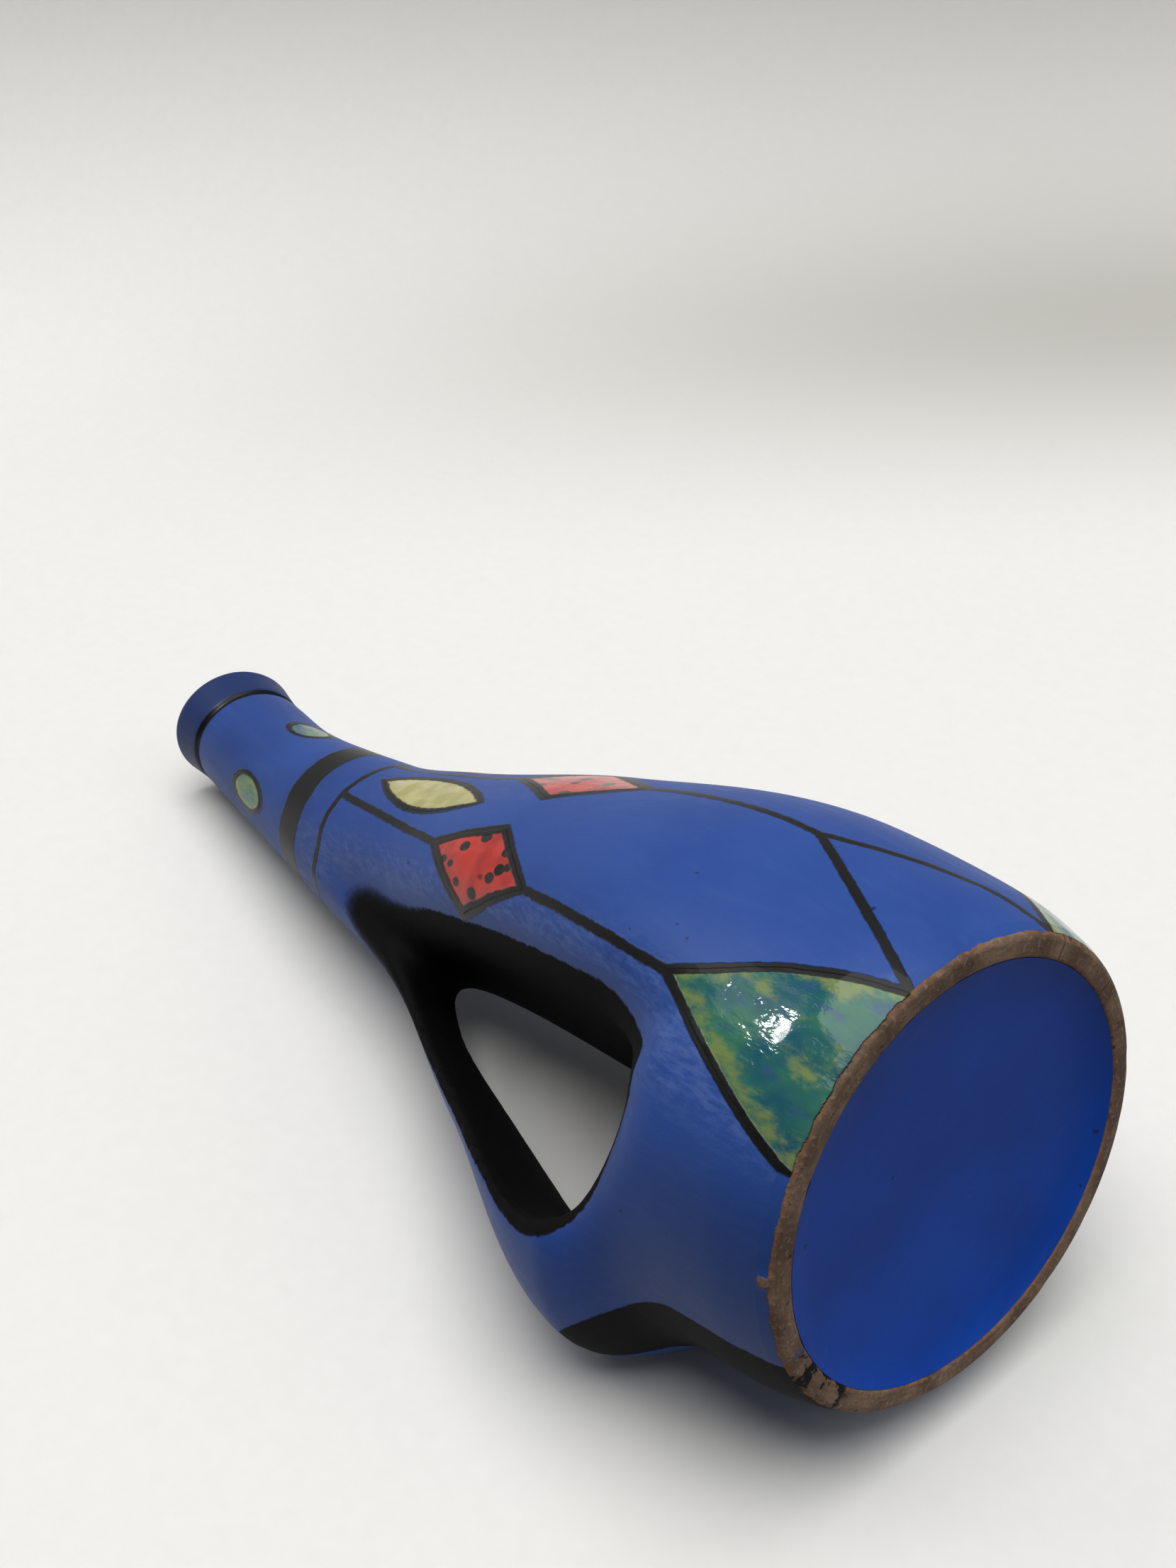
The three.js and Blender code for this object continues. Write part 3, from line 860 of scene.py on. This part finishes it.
def wall_pattern(finish, at):
    """How much of each paint of the pattern lies on a point, and how far it is above the zigzag."""

    def line(distance, half):
        return finish.rise(abs(distance) + at.ragged, half + LINE_SOFT, half - LINE_SOFT)

    def field(distance):
        return finish.rise(distance + at.ragged * 0.4, FIELD_SOFT, -FIELD_SOFT)

    turn = (at.angle - PANEL_START) * (PANELS / (2 * math.pi)) + at.waver * 0.008
    peak = turn.math("PINGPONG", turn, 0.5) * 2
    from_peak = (1 - peak) * at.radius * HALF_PANEL
    from_valley = peak * at.radius * HALF_PANEL
    panel = turn.math("FLOOR", turn)
    odd = panel.math("FLOORED_MODULO", panel, 2)
    from_handle = abs(at.angle + PANEL_SHIFT)
    clear_of_handle = finish.rise(from_handle, PATTERN_ANGLE, PATTERN_ANGLE + 0.037)
    clear_of_heel = finish.rise(from_handle, PATTERN_ANGLE, PATTERN_ANGLE + 0.01)
    clear_of_lining = finish.rise(from_handle, LEAF_ANGLE, LEAF_ANGLE + 0.02)

    zigzag = (at.height - (ZIGZAG_Z + peak * ZIGZAG_RISE)) * ZIGZAG_LEAN
    lozenge_up = abs(at.height - LOZENGE_Z) / LOZENGE_HALF_HEIGHT
    lozenge = (from_peak / LOZENGE_HALF_WIDTH + lozenge_up - 1) * LOZENGE_REACH
    leaf_up = (at.height - LEAF_Z) / LEAF_HALF_HEIGHT
    leaf = (from_valley - LEAF_HALF_WIDTH * (1 - leaf_up * leaf_up)) * LEAF_LEAN
    quarter = at.angle * (OVALS / (2 * math.pi))
    oval_side = (1 - quarter.math("PINGPONG", quarter, 0.5) * 2) * at.radius * (math.pi / OVALS)
    oval_up = (at.height - OVAL_Z) / OVAL_HALF_HEIGHT
    oval = ((oval_side * oval_side * OVAL_NARROW + oval_up * oval_up) ** 0.5 - 1) * OVAL_REACH

    on_body = finish.rise(at.height, RING_Z + 0.5, RING_Z - 0.5) * finish.rise(zigzag, 0, 0.5)
    on_body = on_body * finish.rise(at.height, GORE_LOW_Z, GORE_LOW_Z + 1)
    gores = line(from_peak, GORE_LINE) * on_body * finish.rise(lozenge, 0, 0.4) * clear_of_handle
    strokes = (line(zigzag, ZIGZAG_LINE) * clear_of_heel).at_least(line(oval, OVAL_LINE))
    strokes = strokes.at_least(line(lozenge, LOZENGE_LINE) * clear_of_handle)
    strokes = strokes.at_least(line(leaf, LEAF_LINE) * clear_of_lining).at_least(gores)
    strokes = strokes.at_least(line(at.height - BAND_Z, BAND_HALF))
    strokes = strokes.at_least(line(at.height - RING_Z, RING_LINE))
    glassy = field(zigzag) * odd * clear_of_heel
    return SimpleNamespace(
        glassy=glassy,
        green=(glassy + field(oval)).at_most(1),
        red=field(lozenge) * clear_of_handle,
        cream=field(leaf) * clear_of_lining,
        strokes=strokes,
        zigzag=zigzag,
    )


def black_areas(finish, at):
    """How much of the opening's black lining and of the tongue under the heel lies on a point."""
    soft = 0.2 + 0.7 * finish.rise(at.z, 125, 160)
    lined = finish.rise(at.lining + at.waver * 0.25 + at.ragged, -1 * soft, soft)
    flare = TONGUE_FLARE * finish.rise(at.z, 42, 22) * finish.rise(at.z, -8, 16)
    past_end = (at.z + at.waver * 0.3 - TONGUE_END_Z).at_least(0) / TONGUE_END_ROUND
    half = (TONGUE_HALF + flare) * (1 - past_end * past_end).at_least(0) ** 0.5
    tongue = finish.rise(abs(at.y) + at.waver * 0.4 + at.ragged, half, half - 0.6)
    return lined, tongue * finish.rise(at.x, 20, 25)


def wall_blue(finish, at, brushed):
    """The blue of the wall, with a painted sheen on the rim next to the lining, and painted shade
    up the neck and round the heel.
    """
    colour, roughness, relief = blue_ground(finish, at.place)
    # Painted sheen: pale streaks on the rim of the opening, where the rounded rim would catch light
    # from the side
    painted_rim_sheen = finish.rise(at.lining, -12, -5) * finish.rise(at.lining, -0.5, -3)
    painted_rim_sheen = painted_rim_sheen * finish.rise(at.x, 26, 18)
    colour = finish.mix(painted_rim_sheen * finish.rise(brushed, 0.38, 0.7) * 0.42, colour, BLUE_PAINTED_SHEEN)
    # Painted shade: darker, greyer blue up the neck, where less light falls
    cloud = finish.rise(brushed * 0.5 + finish.noise(at.place, 22, 2), 0.5, 0.9)
    painted_neck_shade = finish.rise(at.height, 140, 215) * cloud
    colour = finish.mix(painted_neck_shade * 0.25, colour, BLUE_PAINTED_SHADE)
    # Painted shade: darker blue round the heel and the lower wall on the handle's side, where they
    # face down out of the light
    painted_heel_shade = finish.rise(at.z, 80, 45) * 0.12 + finish.rise(at.z, 35, 15) * 0.25
    painted_heel_shade = painted_heel_shade * finish.rise(abs(at.angle), 1.2, 0.8)
    return finish.mix(painted_heel_shade, colour, BLUE_PAINTED_SHADE), roughness, relief


def bare_areas(finish, at):
    """How much bare clay shows on a point of the foot, and how much of the lump of clay."""
    edge = (finish.noise(at.place, 3, 4, 0.6) - 0.5) * 1.2 + at.ragged * 0.4
    smear = finish.rise(abs(at.angle - SMEAR_ANGLE), SMEAR_HALF, 0.2)
    smear = smear * finish.rise(finish.noise(at.place, 4, 4, 0.6), 0.5, 0.56)
    crumb_side = (at.angle - CRUMB_ANGLE) * at.radius + at.ragged
    crumb_up = at.z - CRUMB_Z + at.ragged
    from_crumb = (crumb_side * crumb_side + crumb_up * crumb_up) ** 0.5
    crumb = finish.rise(from_crumb, CRUMB, CRUMB - 0.4)
    bare = finish.rise(at.z + edge, BARE_TOP_Z, BARE_EDGE_Z) * (1 - smear)
    return bare.at_least(crumb), crumb


def wall_finish():
    """The blue wall with its painted pattern, its dry black lining and the bare foot."""
    finish = Finish("painted_wall")
    at = wall_place(finish)
    paints = wall_pattern(finish, at)
    lined, tongue = black_areas(finish, at)
    black = paints.strokes.at_least(lined).at_least(tongue)
    brushed = finish.noise(finish.stretched(at.place, (1, 1, 0.3)), 1.3, 4, 0.7)
    ground, ground_rough, ground_relief = wall_blue(finish, at, brushed)
    glass, glass_relief = enamel(finish, at.place, finish.rise(paints.zigzag, -9, -1.5))

    colour = finish.mix(paints.green, ground, glass)
    colour = finish.mix(paints.red, colour, dotted_red(finish, at))
    colour = finish.mix(paints.cream, colour, cream_glaze(finish, at.place))
    colour = finish.mix(black, colour, BLACK)
    fields = paints.green + paints.red + paints.cream
    glossy = fields.at_most(1)
    roughness = finish.blend(glossy, ground_rough, GLAZE_ROUGH)
    roughness = finish.blend(paints.glassy, roughness, ENAMEL_ROUGH)
    roughness = finish.blend(black, roughness, STROKE_ROUGH)
    roughness = finish.blend(lined.at_least(tongue), roughness, TONGUE_ROUGH)
    coat = finish.blend(paints.strokes, fields * GLAZE_COAT, STROKE_COAT) * (1 - lined)
    relief = finish.blend(glossy, ground_relief * 0.3, 0.25 + glass_relief * 0.3)
    relief = relief + paints.strokes * 0.55

    bare, crumb = bare_areas(finish, at)
    clay, clay_relief = biscuit(finish, at)
    colour = finish.mix(bare, colour, clay)
    roughness = finish.blend(bare, roughness, CLAY_ROUGH)
    relief = finish.blend(bare, relief, clay_relief + crumb)
    finish.shine(Base_Color=colour, Roughness=roughness, Coat_Weight=coat * (1 - bare))
    finish.shine(Coat_Roughness=0.05, Coat_IOR=1.32, Specular_IOR_Level=0.12)
    bump = finish.raise_by(relief, WALL_RELIEF)

    dry = {"Roughness": LINING_ROUGH, "Specular IOR Level": 0.05, "Normal": bump}
    dry["Base Color"] = finish.mix(finish.rise(brushed, 0.45, 0.8), BLACK, LINING_PALE)
    finish.cover(lined, finish.node("ShaderNodeBsdfPrincipled", {}, dry))
    return finish.material


def collar_finish():
    """Blue darkened almost all over with painted shade, with a black groove, worn along the rim of
    the mouth.
    """
    finish = Finish("painted_collar")
    place = finish.place()
    x = finish.part(place, "X") - AXIS_X
    z = finish.part(place, "Z") - x * MOUTH_SLOPE
    ground, roughness, relief = blue_ground(finish, place)
    waver = (finish.noise(place, 9, 2) - 0.5) * 0.8
    groove = finish.rise(abs(z + waver - COLLAR_Z - GROOVE_HEIGHT / 2 + 0.4), 2.2, 1.8)
    worn = finish.rise(z, MOUTH_Z - 1, MOUTH_Z) * finish.rise(finish.noise(place, 5, 3), 0.56, 0.66)
    # Painted shade: the collar is mostly the dark greyed blue
    colour = finish.mix(0.9, ground, BLUE_PAINTED_SHADE)
    colour = finish.mix(worn * 0.5, colour, BLUE_LIGHT)
    finish.shine(Base_Color=finish.mix(groove, colour, BLACK))
    finish.shine(Roughness=finish.blend(groove, roughness, GROOVE_ROUGH), Specular_IOR_Level=0.12)
    finish.raise_by(relief, COLLAR_RELIEF)
    return finish.material


def base_finish():
    """Matte blue brushed across the base, with dark specks."""
    finish = Finish("matte_base")
    place = finish.place()
    cloud = finish.noise(place, 30, 2)
    streak = finish.noise(finish.stretched(place, (0.25, 1, 1)), 2.4, 4, 0.6)
    colour = finish.mix(finish.rise(cloud, 0.3, 0.7), BASE_DEEP, BASE_BLUE)
    colour = finish.mix(finish.rise(streak, 0.5, 0.85) * 0.35, colour, BASE_LIGHT)
    speck = finish.rise(finish.noise(place, 2.4, 0), 0.86, 0.88)
    finish.shine(Base_Color=finish.mix(speck * 0.6, colour, BLACK))
    finish.shine(Roughness=0.52 + streak * 0.14, Specular_IOR_Level=0.1)
    finish.raise_by(streak + finish.noise(place, 0.5, 2) * 0.4, BASE_RELIEF)
    return finish.material


jug_finish = wall_finish()
for piece, material in (
    (make_wall(), jug_finish),
    (make_lip_collar(), collar_finish()),
    (make_foot_ring(), jug_finish),
    (make_base_disc(), base_finish()),
):
    piece.data.materials.append(material)

# The jug lies on its side in the photograph: camera and floor are placed round it, in the CAD frame
CAMERA_AT = Vector((34.417, 287.776, -171.781)) * MM
CAMERA_RIGHT = Vector((-0.59602, -0.51577, -0.61542))
CAMERA_DOWN = Vector((0.78370, -0.54053, -0.30600))
CAMERA_AHEAD = Vector((-0.17483, -0.66469, 0.72637))
FOCAL_PIXELS = 2550
PHOTO_HEIGHT = 2212
SENSOR = 36
CLIP_START = 0.01
FLOOR_UP = Vector((-0.518, 0.843, -0.144)).normalized()
FLOOR_OFFSET = -54.3 * MM
FLOOR_AWAY = (CAMERA_AHEAD - CAMERA_AHEAD.dot(FLOOR_UP) * FLOOR_UP).normalized()
FLOOR_ACROSS = FLOOR_AWAY.cross(FLOOR_UP)
UNDER_CAMERA = CAMERA_AT - (CAMERA_AT.dot(FLOOR_UP) - FLOOR_OFFSET) * FLOOR_UP

# The pale sheet, in metres from below the camera, and the light
SHEET_NEAR = 0.1
SHEET_MIDDLE = 0.3
SHEET_HALF = 1.6
SHEET_HEIGHT = 1.2
SWEEP_START = 0.74
SWEEP_ROUND = 0.16
SWEEP_STEPS = 16
LAMP_COLOUR = (1.0, 0.99, 0.968)
SKY_COLOUR = (0.98, 0.99, 1.0, 1)
SKY_LOW = 0.03
SKY_RISE = 0.14
SKY_SEEN = 0.86


def add_camera():
    """The photograph's own camera."""
    data = bpy.data.cameras.new("camera")
    data.lens = FOCAL_PIXELS / PHOTO_HEIGHT * SENSOR
    data.sensor_width = SENSOR
    data.clip_start = CLIP_START
    camera = bpy.data.objects.new("camera", data)
    turn = Matrix((CAMERA_RIGHT, -CAMERA_DOWN, -CAMERA_AHEAD)).transposed()
    camera.matrix_world = Matrix.Translation(CAMERA_AT) @ turn.to_4x4()
    bpy.context.scene.collection.objects.link(camera)
    bpy.context.scene.camera = camera


def paper_finish():
    """Pale paper with painted shade behind the jug, deepest to the right, and clear when it is seen
    from behind.
    """
    finish = Finish("pale_paper")
    place = finish.place()
    colour = finish.mix(finish.noise(place, 4, 2), PAPER, PAPER_LIGHT)
    away = finish.along(place, FLOOR_AWAY)
    across = finish.along(place, FLOOR_ACROSS)
    # Painted shade: the paper darkens behind the jug toward the right, as the light falls off there
    painted_backdrop_shade = finish.rise(away, 0.33, 0.56) * finish.rise(across, -0.35, 0.2)
    painted_backdrop_shade = painted_backdrop_shade * (1 - finish.rise(away, 0.56, 0.66) * 0.6)
    finish.shine(Base_Color=finish.mix(painted_backdrop_shade, colour, PAPER_PAINTED_SHADE), Roughness=PAPER_ROUGH)
    seen_from_behind = finish.node("ShaderNodeNewGeometry", {}, {}, "Backfacing")
    finish.cover(seen_from_behind, finish.node("ShaderNodeBsdfTransparent", {}, {}))
    return finish.material


def add_floor():
    """A pale sheet that runs back on the table and sweeps up behind the jug."""
    line = [(SHEET_NEAR, 0.0), (SHEET_MIDDLE, 0.0)]
    for i in range(SWEEP_STEPS + 1):
        turn = math.pi / 2 * i / SWEEP_STEPS
        rise = SWEEP_ROUND * (1 - math.cos(turn))
        line.append((SWEEP_START + SWEEP_ROUND * math.sin(turn), rise))
    line.append((SWEEP_START + SWEEP_ROUND, SHEET_HEIGHT))
    points = []
    for away, up in line:
        middle = UNDER_CAMERA + FLOOR_AWAY * away + FLOOR_UP * up
        points += [tuple(middle + FLOOR_ACROSS * side) for side in (-SHEET_HALF, SHEET_HALF)]
    faces = [(2 * i, 2 * i + 1, 2 * i + 3, 2 * i + 2) for i in range(len(line) - 1)]
    mesh = bpy.data.meshes.new("floor")
    mesh.from_pydata(points, [], faces)
    mesh.shade_smooth()
    mesh.materials.append(paper_finish())
    floor = bpy.data.objects.new("floor", mesh)
    bpy.context.scene.collection.objects.link(floor)
    floor.visible_shadow = False


def add_lamp(name, up, away, across, width, watts, only_in_gloss=False):
    """A round lamp that faces the jug, placed in metres from it along the floor's own axes."""
    middle = (cad_low + cad_high) / 2
    at = middle + FLOOR_UP * up + FLOOR_AWAY * away + FLOOR_ACROSS * across
    data = bpy.data.lights.new(name, "AREA")
    data.shape = "DISK"
    data.size = width
    data.color = LAMP_COLOUR
    data.energy = watts
    lamp = bpy.data.objects.new(name, data)
    aim = (middle - at).to_track_quat("-Z", "Y").to_matrix().to_4x4()
    lamp.matrix_world = Matrix.Translation(at) @ aim
    lamp.visible_diffuse = not only_in_gloss
    bpy.context.scene.collection.objects.link(lamp)


def add_world():
    """Even light, brighter from above the floor than from below it."""
    world = bpy.data.worlds.new("studio")
    bpy.context.scene.world = world
    world.use_nodes = True
    sky = Finish.of_world(world)
    way = sky.node("ShaderNodeTexCoord", {}, {}, "Generated")
    level = sky.rise(sky.along(way, FLOOR_UP), -0.2, 0.6) * SKY_RISE + SKY_LOW
    by_camera = sky.node("ShaderNodeLightPath", {}, {}, "Is Camera Ray")
    seen = by_camera.at_least(sky.node("ShaderNodeLightPath", {}, {}, "Is Transmission Ray"))
    sky.shine(Color=SKY_COLOUR, Strength=sky.blend(seen, level, SKY_SEEN))


add_camera()
add_floor()
add_lamp("overhead", up=2.35, away=-0.25, across=0.12, width=2.2, watts=78)
add_lamp("window", up=1.5, away=0.3, across=-1.1, width=0.8, watts=4)
add_lamp("side", up=1.3, away=-0.6, across=1.3, width=1.0, watts=5)
add_lamp("glint", up=1.5, away=0.1, across=-1.15, width=0.3, watts=24, only_in_gloss=True)
add_world()
bpy.context.scene.view_settings.view_transform = "Standard"
